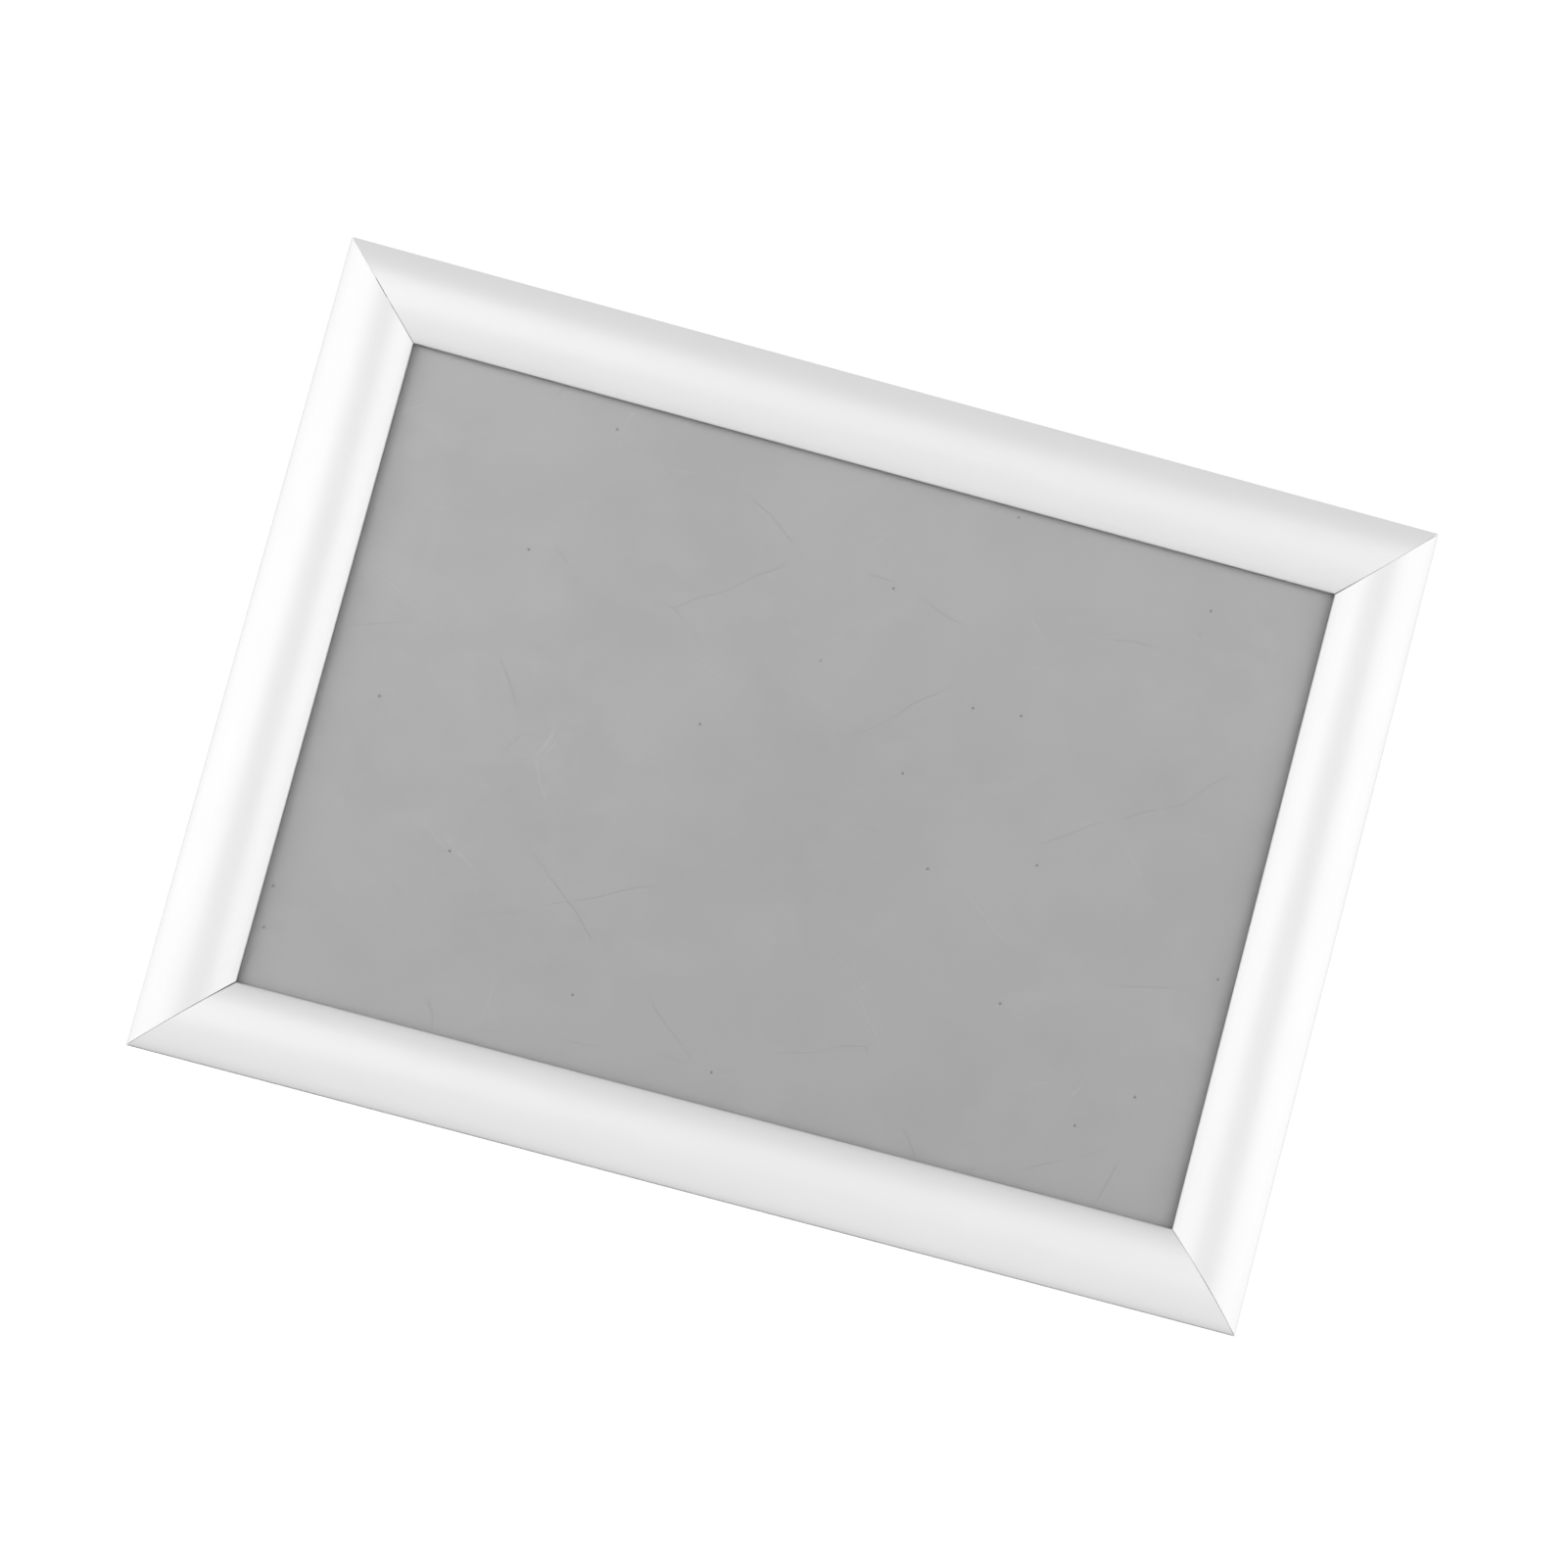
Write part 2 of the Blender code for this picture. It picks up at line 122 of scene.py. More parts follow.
# Base rail
FLOOR_THICKNESS = 0.0012
FLOOR_INSET = 0.0013
OUTER_RIB = 0.0078
CHANNEL_START = 0.0088
CHANNEL_END = 0.0137
INNER_RIB = 0.0147
CHANNEL_LIP = 0.0031
CHANNEL_TOP = 0.0039
CHANNEL_LIP_REACH = 0.0008
CATCH_LIP = 0.0047
CATCH_TOP = 0.0052
CATCH_REACH = 0.0005
BASE_MITRE_GAP = 0.0002
HOLE_INSET = 0.055
HOLE_RADIUS = 0.00225
HEAD_RADIUS = 0.0042
HOLE_CHAMFER = 0.0003

# Corner keys, measured from the frame's outer edges, with their broken edges and punched marks
KEY_NEAR = 0.0090
KEY_FAR = 0.0135
KEY_END = 0.0435
KEY_BOTTOM = 0.0014
KEY_THICKNESS = 0.0015
KEY_CHAMFER = 0.00018
STAKE_DEPTH = 0.0005
STAKE_PLACES = (0.020, 0.034)
STAKE_TAPER = 3                # a mark is so many times as wide at its mouth as at its foot

# Leaf springs, from the cover's toe to the base's catch
SPRING_OUTER_END = Vector((0.00345, 0.002225))
SPRING_INNER_END = Vector((0.01345, 0.0043))
SPRING_INSET = 0.080
SPRING_THICKNESS = 0.00035
SPRING_EDGE_SHARE = 0.4        # how much of a strip's thickness its flat edge keeps

# Sheets, and the marks that handling left on them
SHEET_CHAMFER = 0.00005
HAIRLINE_BEND = Vector((0.3, 0.3, 0.0))  # how far a hairline strays, as a share of its pattern's size
HAIRLINE_CORE = 0.15           # millimetres from a hairline's middle to where it starts to fade
HAIRLINE_REACH = 0.25          # and to where it ends
SMEAR_HAZE = 0.035             # how much more or less of the picture a finger smear hides
SCUFF_HAZE = 0.05              # how much more of it a scuff hides
DUST_HAZE = 0.15               # and how much more a speck of dust does
DUST_COLOUR = "4A4845"
DUST_CELL = 15                 # millimetres across the cells that may each hold a speck
DUST_CORE = 0.33               # millimetres from a speck's middle to where it starts to fade
DUST_REACH = 0.45              # and to where it ends

# Meshing
CREST_STEPS = 24               # from the crest to either edge
INNER_STEPS = 32
NOSE_STEPS = 10
BEAD_STEPS = 28
SOCKET_STEPS = 18
CIRCLE_STEPS = 48
SPRING_STEPS = 48
FILLET_STEPS = 4
SHARP_TURN = math.radians(20)  # an outline turns more than this only at a corner
SHARP_ANGLE = math.radians(32)
ROUNDING_PARTS = 2.2           # a rounding takes at most the shorter edge beside it divided by this
LEAST_LEAN = 0.5               # keeps the inset point of a sharp corner near it
OVERRUN = 0.001                # how far a cutter passes through what it cuts
MM_PER_METRE = 1000
SWAP_Y_AND_Z = Matrix(((1, 0, 0, 0), (0, 0, 1, 0), (0, 1, 0, 0), (0, 0, 0, 1)))
WHITE = (1, 1, 1, 1)

# Each side: turn about Y in degrees, rail length, span to the side opposite, the corner at its far end
SIDES = {
    "bottom": (0, FRAME_WIDTH, FRAME_HEIGHT, "bottom_right"),
    "left": (90, FRAME_HEIGHT, FRAME_WIDTH, "bottom_left"),
    "top": (180, FRAME_WIDTH, FRAME_HEIGHT, "top_left"),
    "right": (270, FRAME_HEIGHT, FRAME_WIDTH, "top_right"),
}
SCREWED_SIDES = ("bottom", "top")

# Gap of each mitre in millimetres, at even steps from the outer corner to the picture. No saw cut is
# quite true
JOINT_GAPS = {
    "bottom_right": (0.02, 0.08, 0.12, 0.01, 0.07),
    "bottom_left": (0.06, 0.07, 0.09, 0.12, 0.40),
    "top_left": (0.03, 0.03, 0.16, 0.07, 0.11),
    "top_right": (0.08, 0.02, 0.03, 0.05, 0.28),
}

# Camera
CAMERA_PLACE = Vector((-0.018155, -0.619495, -0.027786))
CAMERA_LOOK = Vector((0.025511, 0.998669, 0.044816))
CAMERA_ROLL = math.radians(14.955)

# Floor and room
FLOOR_SIZE = 12.0
FLOOR_PAINT = "E6E6E6"
FLOOR_LIFT = 0.66              # added to the floor that the camera sees, to reach plain white
FLOOR_GLOW = 1.03              # brightness of the floor that the metal reflects
SHADE_GLOW = 0.0               # and of the painted shadow in it, a dark field behind the wall's plane
SHADE_MIDDLE = Vector((0, 0.60, 0))
SHADE_REACH = Vector((0.5, 0.535, 0))  # half the field's width and depth
SHADE_EDGE = 0.03              # width of its soft rim
WALL_GLOW = 0.925              # brightness of the room that the metal reflects, level with the frame
CEILING_GLOW = 0.86            # and straight above it

# Lamps
SIDE_LAMP_PLACES = {"left": Vector((-1.17, -0.70, 0.1)), "right": Vector((1.22, -0.60, 0.1))}
SIDE_LAMP_SIZE = 2.25
FRONT_LAMP_PLACE = Vector((-0.2, -1.5, 0.35))
FRONT_LAMP_SIZE = 1.2
FILL_LAMP_PLACES = {"left": Vector((-0.55, -0.30, 0.18)), "right": Vector((0.55, -0.30, 0.18))}
FILL_LAMP_SIZE = 0.3


def linear(colour):
    """Turn an sRGB hex colour into the linear values that Blender's sockets hold."""
    parts = [int(colour[place:place + 2], 16) / 255 for place in (0, 2, 4)]
    return tuple(part / 12.92 if part <= 0.04045 else ((part + 0.055) / 1.055) ** 2.4 for part in parts)


class SnapFrameSizes(PropertyGroup):
    """Sizes of the small details that the looks add to the CAD shapes."""

    joint_opening: FloatProperty(
        name="Joint opening",
        description="How wide the mitres gape, as a share of the gaps seen in the photo",
        default=1.0, min=0, max=1.5, subtype="FACTOR")
    outer_relief: FloatProperty(
        name="Outer relief", description="How far a mitre is filed back at the frame's outer corner",
        default=0.00012, min=0, unit="LENGTH", precision=5)
    arris: FloatProperty(
        name="Arris", description="Width of the broken edge round each sawn end",
        default=0.00007, min=0, unit="LENGTH", precision=5)
    die_radius: FloatProperty(
        name="Die radius", description="Radius of an extruded corner of the base rail",
        default=0.00018, min=0, unit="LENGTH", precision=5)
    sheet_corner: FloatProperty(
        name="Sheet corner", description="Radius of the corners of the panel and the front sheet",
        default=0.0015, min=0, unit="LENGTH", precision=5)
    spring_length: FloatProperty(
        name="Spring length", description="Length of a leaf spring along its rail",
        default=0.020, min=0, unit="LENGTH", precision=4)
    spring_rise: FloatProperty(
        name="Spring rise", description="How far a shut cover bows its leaf springs",
        default=0.0023, min=0, unit="LENGTH", precision=4)
    spring_corner: FloatProperty(
        name="Spring corner", description="Radius of a leaf spring's stamped corners",
        default=0.0012, min=0, unit="LENGTH", precision=4)
    key_corner: FloatProperty(
        name="Key corner", description="Radius of a corner key's stamped corners",
        default=0.0007, min=0, unit="LENGTH", precision=4)
    stake_radius: FloatProperty(
        name="Stake radius", description="Radius of the punched marks on a corner key",
        default=0.0009, min=0, unit="LENGTH", precision=4)


class SnapFrameFinishes(PropertyGroup):
    """Colours and gloss of the frame's materials."""

    anodised: FloatVectorProperty(
        name="Anodised aluminium", description="Colour of the covers",
        subtype="COLOR", size=3, min=0, max=1, default=linear("E9E9E9"))
    anodised_roughness: FloatProperty(
        name="Anodised roughness", description="How far the covers spread a reflection",
        default=0.42, min=0, max=1, subtype="FACTOR")
    mill: FloatVectorProperty(
        name="Mill aluminium", description="Colour of the base rails",
        subtype="COLOR", size=3, min=0, max=1, default=linear("D2D3D5"))
    spring_steel: FloatVectorProperty(
        name="Spring steel", description="Colour of the leaf springs",
        subtype="COLOR", size=3, min=0, max=1, default=linear("8A8E96"))
    zinc: FloatVectorProperty(
        name="Zinc plate", description="Colour of the corner keys",
        subtype="COLOR", size=3, min=0, max=1, default=linear("CBCDD0"))
    polystyrene: FloatVectorProperty(
        name="Grey polystyrene", description="Colour of the back panel",
        subtype="COLOR", size=3, min=0, max=1, default=linear("A5A5A5"))
    film: FloatVectorProperty(
        name="Anti-glare film", description="Colour of the front sheet's haze",
        subtype="COLOR", size=3, min=0, max=1, default=linear("F2F2F2"))
    film_haze: FloatProperty(
        name="Film haze", description="How much of the picture the front sheet's haze hides",
        default=0.06, min=0, max=1, subtype="FACTOR")


class SnapFrameStudio(PropertyGroup):
    """The light, floor and camera."""

    side_power: FloatProperty(
        name="Side lamps", description="Power of the softboxes at the left and the right",
        default=6.1, min=0, unit="POWER")
    front_power: FloatProperty(
        name="Front lamp", description="Power of the soft lamp above the camera",
        default=0.8, min=0, unit="POWER")
    left_fill_power: FloatProperty(
        name="Left fill", description="Power of the lamp that only matt surfaces see, at the left",
        default=1.78, min=0, unit="POWER")
    right_fill_power: FloatProperty(
        name="Right fill", description="Power of the lamp that only matt surfaces see, at the right",
        default=1.15, min=0, unit="POWER")
    ambient: FloatProperty(
        name="Ambient light", description="Strength of the white room on matt surfaces",
        default=0.45, min=0)
    floor_drop: FloatProperty(
        name="Floor drop", description="Height of the frame's middle above the floor",
        default=0.45, min=0, unit="LENGTH")
    lens: FloatProperty(
        name="Lens", description="Focal length on a 36 mm wide sensor",
        default=49.107, min=1, unit="CAMERA")


def polar(centre, radius, degrees):
    """Point at an angle round a centre."""
    angle = math.radians(degrees)
    return centre + Vector((math.cos(angle), math.sin(angle))) * radius


def arc(centre, radius, start, end, steps):
    """Points along an arc, both ends included."""
    return [polar(centre, radius, start + (end - start) * step / steps) for step in range(steps + 1)]


def neighbours(outline):
    """Each point of a closed outline with the point before it and the point after it."""
    return zip(outline[-1:] + outline[:-1], outline, outline[1:] + outline[:1])


def rounded(outline, radius):
    """Round the sharp corners of a closed outline, as a die or a punch leaves them."""
    points = []
    for before, corner, after in neighbours(outline):
        back = before - corner
        on = after - corner
        turn = math.pi - back.angle(on)
        if turn < SHARP_TURN:
            points.append(corner)
            continue
        longest = min(back.length, on.length) / ROUNDING_PARTS
        reach = min(radius * math.tan(turn / 2), longest)
        start = corner + back.normalized() * reach
        end = corner + on.normalized() * reach
        for step in range(FILLET_STEPS + 1):
            share = step / FILLET_STEPS
            points.append(start.lerp(corner, share).lerp(corner.lerp(end, share), share))
    return points


def inset(outline, distance):
    """Move a closed outline inward."""
    area = sum(here.cross(after) for _, here, after in neighbours(outline))
    side = math.copysign(distance, area)
    points = []
    for before, corner, after in neighbours(outline):
        first = (corner - before).normalized()
        middle = (first + (after - corner).normalized()).normalized()
        lean = max(LEAST_LEAN, middle.dot(first))
        points.append(corner + Vector((-middle.y, middle.x)) * (side / lean))
    return points


def solid(name, rings):
    """Join closed rings of as many points each into a solid with closed ends."""
    edit = bmesh.new()
    loops = [[edit.verts.new(point) for point in ring] for ring in rings]
    for near, far in zip(loops, loops[1:]):
        for place in range(len(near)):
            edit.faces.new((near[place - 1], near[place], far[place], far[place - 1]))
    edit.faces.new(loops[0])
    edit.faces.new(loops[-1])
    bmesh.ops.recalc_face_normals(edit, faces=edit.faces)
    mesh = bpy.data.meshes.new(name)
    edit.to_mesh(mesh)
    edit.free()
    return mesh


def sawn_bar(name, outline, end_place, arris):
    """Extrude an outline along Z to end places that depend on X, with its sawn edges broken."""
    rings = []
    for end in (-1, 1):
        face = [(point.x, point.y, end * end_place(point.x, end)) for point in inset(outline, arris)]
        edge = [(point.x, point.y, end * (end_place(point.x, end) - arris)) for point in outline]
        rings += [face, edge] if end < 0 else [edge, face]
    return solid(name, rings)


def plate(name, outline, thickness, chamfer):
    """Extrude an outline along Z into a plate with broken edges."""
    small = inset(outline, chamfer)
    levels = ((0, small), (chamfer, outline), (thickness - chamfer, outline), (thickness, small))
    return solid(name, [[(point.x, point.y, level) for point in ring] for level, ring in levels])


def turned(name, levels):
    """A round tool from its radius at each level along Z."""
    circle = [polar(Vector((0, 0)), 1, 360 * step / CIRCLE_STEPS) for step in range(CIRCLE_STEPS)]
    rings = [[(point.x * radius, point.y * radius, level) for point in circle] for level, radius in levels]
    return solid(name, rings)


def combined(mesh, tools, operation):
    """Join meshes to a mesh, or cut them away, and return the result."""
    carrier = bpy.data.objects.new(mesh.name, mesh)
    bpy.context.scene.collection.objects.link(carrier)
    helpers = []
    for tool in tools:
        helper = bpy.data.objects.new(tool.name, tool)
        bpy.context.scene.collection.objects.link(helper)
        helpers.append(helper)
        modifier = carrier.modifiers.new(tool.name, "BOOLEAN")
        modifier.operation = operation
        modifier.solver = "EXACT"
        modifier.object = helper
    worked = carrier.evaluated_get(bpy.context.evaluated_depsgraph_get())
    result = bpy.data.meshes.new_from_object(worked)
    result.name = mesh.name
    for item in (carrier, *helpers):
        spare = item.data
        bpy.data.objects.remove(item, do_unlink=True)
        bpy.data.meshes.remove(spare)
    return result


def side_matrix(side):
    """Place of a side's own frame in the model."""
    turn, _, span, _ = SIDES[side]
    rotation = Matrix.Rotation(math.radians(turn), 4, "Y")
    axes = Matrix(((0, 0, 1, 0), (0, -1, 0, 0), (1, 0, 0, 0), (0, 0, 0, 1)))
    inward = rotation @ Vector((0, 0, 1))
    return Matrix.Translation(-inward * span / 2) @ rotation @ axes


def lay_grain(mesh, grain):
    """Store where each point lies along and across the metal's or the film's grain, in metres."""
    attribute = mesh.attributes.new("grain", "FLOAT_VECTOR", "POINT")
    for vertex, place in zip(mesh.vertices, attribute.data):
        place.vector = grain(vertex.co)


def round_the_rail(point):
    """Grain of a cover: along the rail, and round its arch."""
    angle = math.atan2(point.x - ARC_CENTRE.x, point.y - ARC_CENTRE.y)
    return point.z, angle * ARC_RADIUS, (point.xy - ARC_CENTRE).length


def down_the_rail(point):
    """Grain of a base rail or a key: along the rail, across it and through it."""
    return point.z, point.x, point.y


def over_the_sheet(point):
    """Grain of a flat sheet: across, up and through."""
    return point.x, point.z, point.y


def piece(name, mesh, grain, matrix, material, node):
    """Make a piece from a mesh in its side's frame, in place of a CAD node."""
    lay_grain(mesh, grain)
    mesh.transform(matrix)
    mesh.materials.clear()
    mesh.materials.append(material)
    mesh.shade_smooth()
    mesh.set_sharp_from_angle(angle=SHARP_ANGLE)
    item = bpy.data.objects.new(name, mesh)
    bpy.context.scene.collection.objects.link(item)
    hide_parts(node)
    return item


def joint_gap(gaps, across):
    """Gap of a mitre at a distance from the rail's outer edge, from its gaps at even steps."""
    place = min(max(across / RAIL_WIDTH, 0.0), 1.0) * (len(gaps) - 1)
    step = min(int(place), len(gaps) - 2)
    return (gaps[step] + (gaps[step + 1] - gaps[step]) * (place - step)) / MM_PER_METRE


def skin_outline():
    """Section of a cover's arched skin, with the stem that hangs inside it."""
    inner = ARC_RADIUS - SKIN_THICKNESS
    lip = polar(ARC_CENTRE, MID_RADIUS, 90 - LIP_ANGLE)
    edge = polar(ARC_CENTRE, MID_RADIUS, 90 + EDGE_ANGLE)
    stem_right = math.degrees(math.acos((STEM_RIGHT - ARC_CENTRE.x) / inner))
    stem_left = math.degrees(math.acos((STEM_LEFT - ARC_CENTRE.x) / inner))
    points = arc(ARC_CENTRE, ARC_RADIUS, 90 + EDGE_ANGLE, 90, CREST_STEPS)
    points += arc(ARC_CENTRE, ARC_RADIUS, 90, 90 - LIP_ANGLE, CREST_STEPS)[1:]
    points += arc(lip, SKIN_HALF, 90 - LIP_ANGLE, -90 - LIP_ANGLE, NOSE_STEPS)[1:]
    points += arc(ARC_CENTRE, inner, 90 - LIP_ANGLE, stem_right, INNER_STEPS)[1:]
    points.append(Vector((STEM_RIGHT, neck_height(STEM_RIGHT))))
    points.append(Vector((STEM_LEFT, neck_height(STEM_LEFT))))
    points += arc(ARC_CENTRE, inner, stem_left, 90 + EDGE_ANGLE, FILLET_STEPS)
    points += arc(edge, SKIN_HALF, EDGE_ANGLE - 90, EDGE_ANGLE - 270, NOSE_STEPS)[1:-1]
    return points


def neck_height(across):
    """Height of the neck's centre line at a distance from the outer edge."""
    return HINGE.y + (across - HINGE.x - BEAD_RADIUS / 2) * NECK_SLOPE


def bead_outline():
    """Section of a cover's hinge bead, with its neck and the toe under the springs."""
    middle = (STEM_LEFT + STEM_RIGHT) / 2
    toe_angle = math.degrees(math.asin((TOE_TOP - HINGE.y) / BEAD_RADIUS))
    toe_start = polar(HINGE, BEAD_RADIUS, TOE_START_ANGLE)
    points = arc(HINGE, BEAD_RADIUS, NECK_ANGLE, TOE_START_ANGLE, BEAD_STEPS)
    points.append(Vector((toe_start.x + TOE_ROOT, TOE_BOTTOM)))
    points.append(Vector((TOE_END, TOE_BOTTOM)))
    points.append(Vector((TOE_END, TOE_TOP)))
    points += arc(HINGE, BEAD_RADIUS, toe_angle, 0, FILLET_STEPS)
    points.append(Vector((middle, HINGE.y + (middle - HINGE.x - BEAD_RADIUS) * NECK_SLOPE)))
    points.append(Vector((middle, HINGE.y + (middle - HINGE.x) * NECK_SLOPE)))
    return points


def base_outline(die_radius):
    """Section of a base rail: plate, hinge socket, key channel and spring catch."""
    foot = polar(HINGE, SOCKET_INNER, SOCKET_FOOT_ANGLE)
    foot_slope = (foot.x - HINGE.x) / (foot.y - HINGE.y)
    foot_on_floor = HINGE.x + (FLOOR_THICKNESS - HINGE.y) * foot_slope
    corner_drop = math.sqrt(SOCKET_OUTER ** 2 - (HINGE.x - FLOOR_INSET) ** 2)
    corner_angle = 180 + math.degrees(math.atan2(corner_drop, HINGE.x - FLOOR_INSET))
    points = [Vector(place) for place in (
        (RAIL_WIDTH, 0),
        (RAIL_WIDTH, FLOOR_THICKNESS),
        (INNER_RIB, FLOOR_THICKNESS),
        (INNER_RIB, CATCH_TOP),
        (CHANNEL_END - CATCH_REACH, CATCH_TOP),
        (CHANNEL_END - CATCH_REACH, CATCH_LIP),
        (CHANNEL_END, CATCH_LIP),
        (CHANNEL_END, CHANNEL_TOP),
        (CHANNEL_END - CHANNEL_LIP_REACH, CHANNEL_TOP),
        (CHANNEL_END - CHANNEL_LIP_REACH, CHANNEL_LIP),
        (CHANNEL_END, CHANNEL_LIP),
        (CHANNEL_END, FLOOR_THICKNESS),
        (CHANNEL_START, FLOOR_THICKNESS),
        (CHANNEL_START, CHANNEL_LIP),
        (CHANNEL_START + CHANNEL_LIP_REACH, CHANNEL_LIP),
        (CHANNEL_START + CHANNEL_LIP_REACH, CHANNEL_TOP),
        (OUTER_RIB, CHANNEL_TOP),
        (OUTER_RIB, FLOOR_THICKNESS),
        (foot_on_floor, FLOOR_THICKNESS),
    )]
    points += arc(HINGE, SOCKET_INNER, SOCKET_FOOT_ANGLE, SOCKET_TOP_ANGLE, SOCKET_STEPS)
    points += arc(HINGE, SOCKET_OUTER, SOCKET_TOP_ANGLE, corner_angle, SOCKET_STEPS)
    points.append(Vector((FLOOR_INSET, 0)))
    return rounded(points, die_radius)


def screw_drills(length):
    """Cutters for a base rail's two chamfered screw holes, each with room for a screw's head."""
    middle = (CHANNEL_START + CHANNEL_END) / 2
    tools = []
    for end in (-1, 1):
        spot = Matrix.Translation((middle, 0, end * (length / 2 - HOLE_INSET)))
        upright = spot @ Matrix.Rotation(math.radians(-90), 4, "X")
        shaft = turned(f"shaft_{end}", (
            (-OVERRUN, HOLE_RADIUS),
            (FLOOR_THICKNESS - HOLE_CHAMFER, HOLE_RADIUS),
            (FLOOR_THICKNESS, HOLE_RADIUS + HOLE_CHAMFER),
            (FLOOR_THICKNESS + OVERRUN, HOLE_RADIUS + HOLE_CHAMFER),
        ))
        head = turned(f"head_{end}", (
            (FLOOR_THICKNESS - HOLE_CHAMFER / 2, HEAD_RADIUS),
            (CATCH_TOP + OVERRUN, HEAD_RADIUS),
        ))
        for tool in (shaft, head):
            tool.transform(upright)
            tools.append(tool)
    return tools


def leaf_spring(name, sizes):
    """A bowed strip with rounded corners, from the cover's toe to the base's catch."""
    along = SPRING_INNER_END - SPRING_OUTER_END
    across = Vector((-along.y, along.x)).normalized()
    strip = along.length
    half_thickness = SPRING_THICKNESS / 2
    rings = []
    for step in range(SPRING_STEPS + 1):
        share = (1 - math.cos(math.pi * step / SPRING_STEPS)) / 2
        bow = across * sizes.spring_rise * math.sin(math.pi * share) ** 2
        middle = SPRING_OUTER_END + along * share + bow
        slope = math.pi * sizes.spring_rise * math.sin(2 * math.pi * share) / strip
        normal = (across - along.normalized() * slope).normalized()
        from_end = min(share, 1 - share) * strip
        short = max(0.0, sizes.spring_corner - from_end)
        rounding = math.sqrt(sizes.spring_corner ** 2 - short ** 2)
        half = sizes.spring_length / 2 - sizes.spring_corner + rounding
        ring = []
        for over, up in ((-1, -1), (1, -1), (1, 1), (-1, 1)):
            edge = ((1, SPRING_EDGE_SHARE), (SPRING_EDGE_SHARE, 1))
            for out, high in edge if over * up > 0 else edge[::-1]:
                reach = half - half_thickness * (1 - out) / 2
                point = middle + normal * half_thickness * up * high
                ring.append((point.x, point.y, over * reach))
        rings.append(ring)
    return solid(name, rings)


def lay_down(mesh, place):
    """Turn a plate that is drawn flat so that its thickness runs along Y. The turn mirrors the plate, so
    its normals are flipped."""
    mesh.transform(Matrix.Translation(place) @ SWAP_Y_AND_Z)
    mesh.flip_normals()


def corner_key(name, sizes):
    """A stamped L with two punched marks on each arm, drawn flat."""
    outline = [Vector(place) for place in (
        (KEY_NEAR, -KEY_NEAR), (KEY_NEAR, -KEY_END), (KEY_FAR, -KEY_END),
        (KEY_FAR, -KEY_FAR), (KEY_END, -KEY_FAR), (KEY_END, -KEY_NEAR))]
    mesh = plate(name, rounded(outline, sizes.key_corner), KEY_THICKNESS, KEY_CHAMFER)
    middle = (KEY_NEAR + KEY_FAR) / 2
    tools = []
    for number, reach in enumerate(STAKE_PLACES):
        for place in ((middle, -reach), (reach, -middle)):
            tool = turned(f"stake_{number}", (
                (KEY_THICKNESS - STAKE_DEPTH, sizes.stake_radius / STAKE_TAPER),
                (KEY_THICKNESS, sizes.stake_radius),
                (KEY_THICKNESS + OVERRUN, sizes.stake_radius),
            ))
            tool.transform(Matrix.Translation((*place, 0)))
            tools.append(tool)
    return combined(mesh, tools, "DIFFERENCE")


def flat_sheet(name, low, high, corner):
    """A cut sheet with rounded corners, in the model's own frame."""
    corners = ((low.x, low.z), (high.x, low.z), (high.x, high.z), (low.x, high.z))
    outline = [Vector(place) for place in corners]
    mesh = plate(name, rounded(outline, corner), high.y - low.y, SHEET_CHAMFER)
    lay_down(mesh, (0, low.y, 0))
    return mesh


def add_node(tree, kind, inputs=(), **settings):
    """Add a node with its settings, and set or link each of its inputs."""
    node = tree.nodes.new(kind)
    for name, value in settings.items():
        setattr(node, name, value)
    for name, value in dict(inputs).items():
        if isinstance(value, bpy.types.NodeSocket):
            tree.links.new(value, node.inputs[name])
        else:
            node.inputs[name].default_value = value
    return node


def new_finish(name, settings):
    """Start a material from the plain values of its Principled shader."""
    material = bpy.data.materials.new(name)
    material.use_nodes = True
    tree = material.node_tree
    shader = tree.nodes["Principled BSDF"]
    for socket, value in settings.items():
        shader.inputs[socket].default_value = value
    return material, tree, shader


def grain_at(tree, along, across, through=1.0):
    """The grain's place, in units of a pattern's own size in millimetres each way."""
    grain = add_node(tree, "ShaderNodeAttribute", attribute_name="grain").outputs["Vector"]
    repeats = tuple(MM_PER_METRE / size for size in (along, across, through))
    return add_node(tree, "ShaderNodeVectorMath", {0: grain, 1: repeats}, operation="MULTIPLY").outputs[0]


def shade_by(tree, factor, low, high):
    """Map a pattern from 0 to 1 onto a low and a high value."""
    span = {"Value": factor, "To Min": low, "To Max": high}
    return add_node(tree, "ShaderNodeMapRange", span).outputs["Result"]


def shade_between(tree, factor, start, end):
    """Turn a pattern into 0 up to a start value and 1 from an end value on, which may be the smaller."""
    span = {"Value": factor, "From Min": start, "From Max": end}
    return add_node(tree, "ShaderNodeMapRange", span).outputs["Result"]


def tint_by(tree, factor, dark, light):
    """Map a pattern from 0 to 1 onto two colours."""
    ends = {"Factor": factor, "A": (*dark, 1), "B": (*light, 1)}
    return add_node(tree, "ShaderNodeMix", ends, data_type="RGBA").outputs["Result"]


def marked_by(tree, tint, marks, colour):
    """Lay marks of one colour over a tint."""
    layers = {"Factor": marks, "A": tint, "B": (*colour, 1)}
    return add_node(tree, "ShaderNodeMix", layers, data_type="RGBA").outputs["Result"]


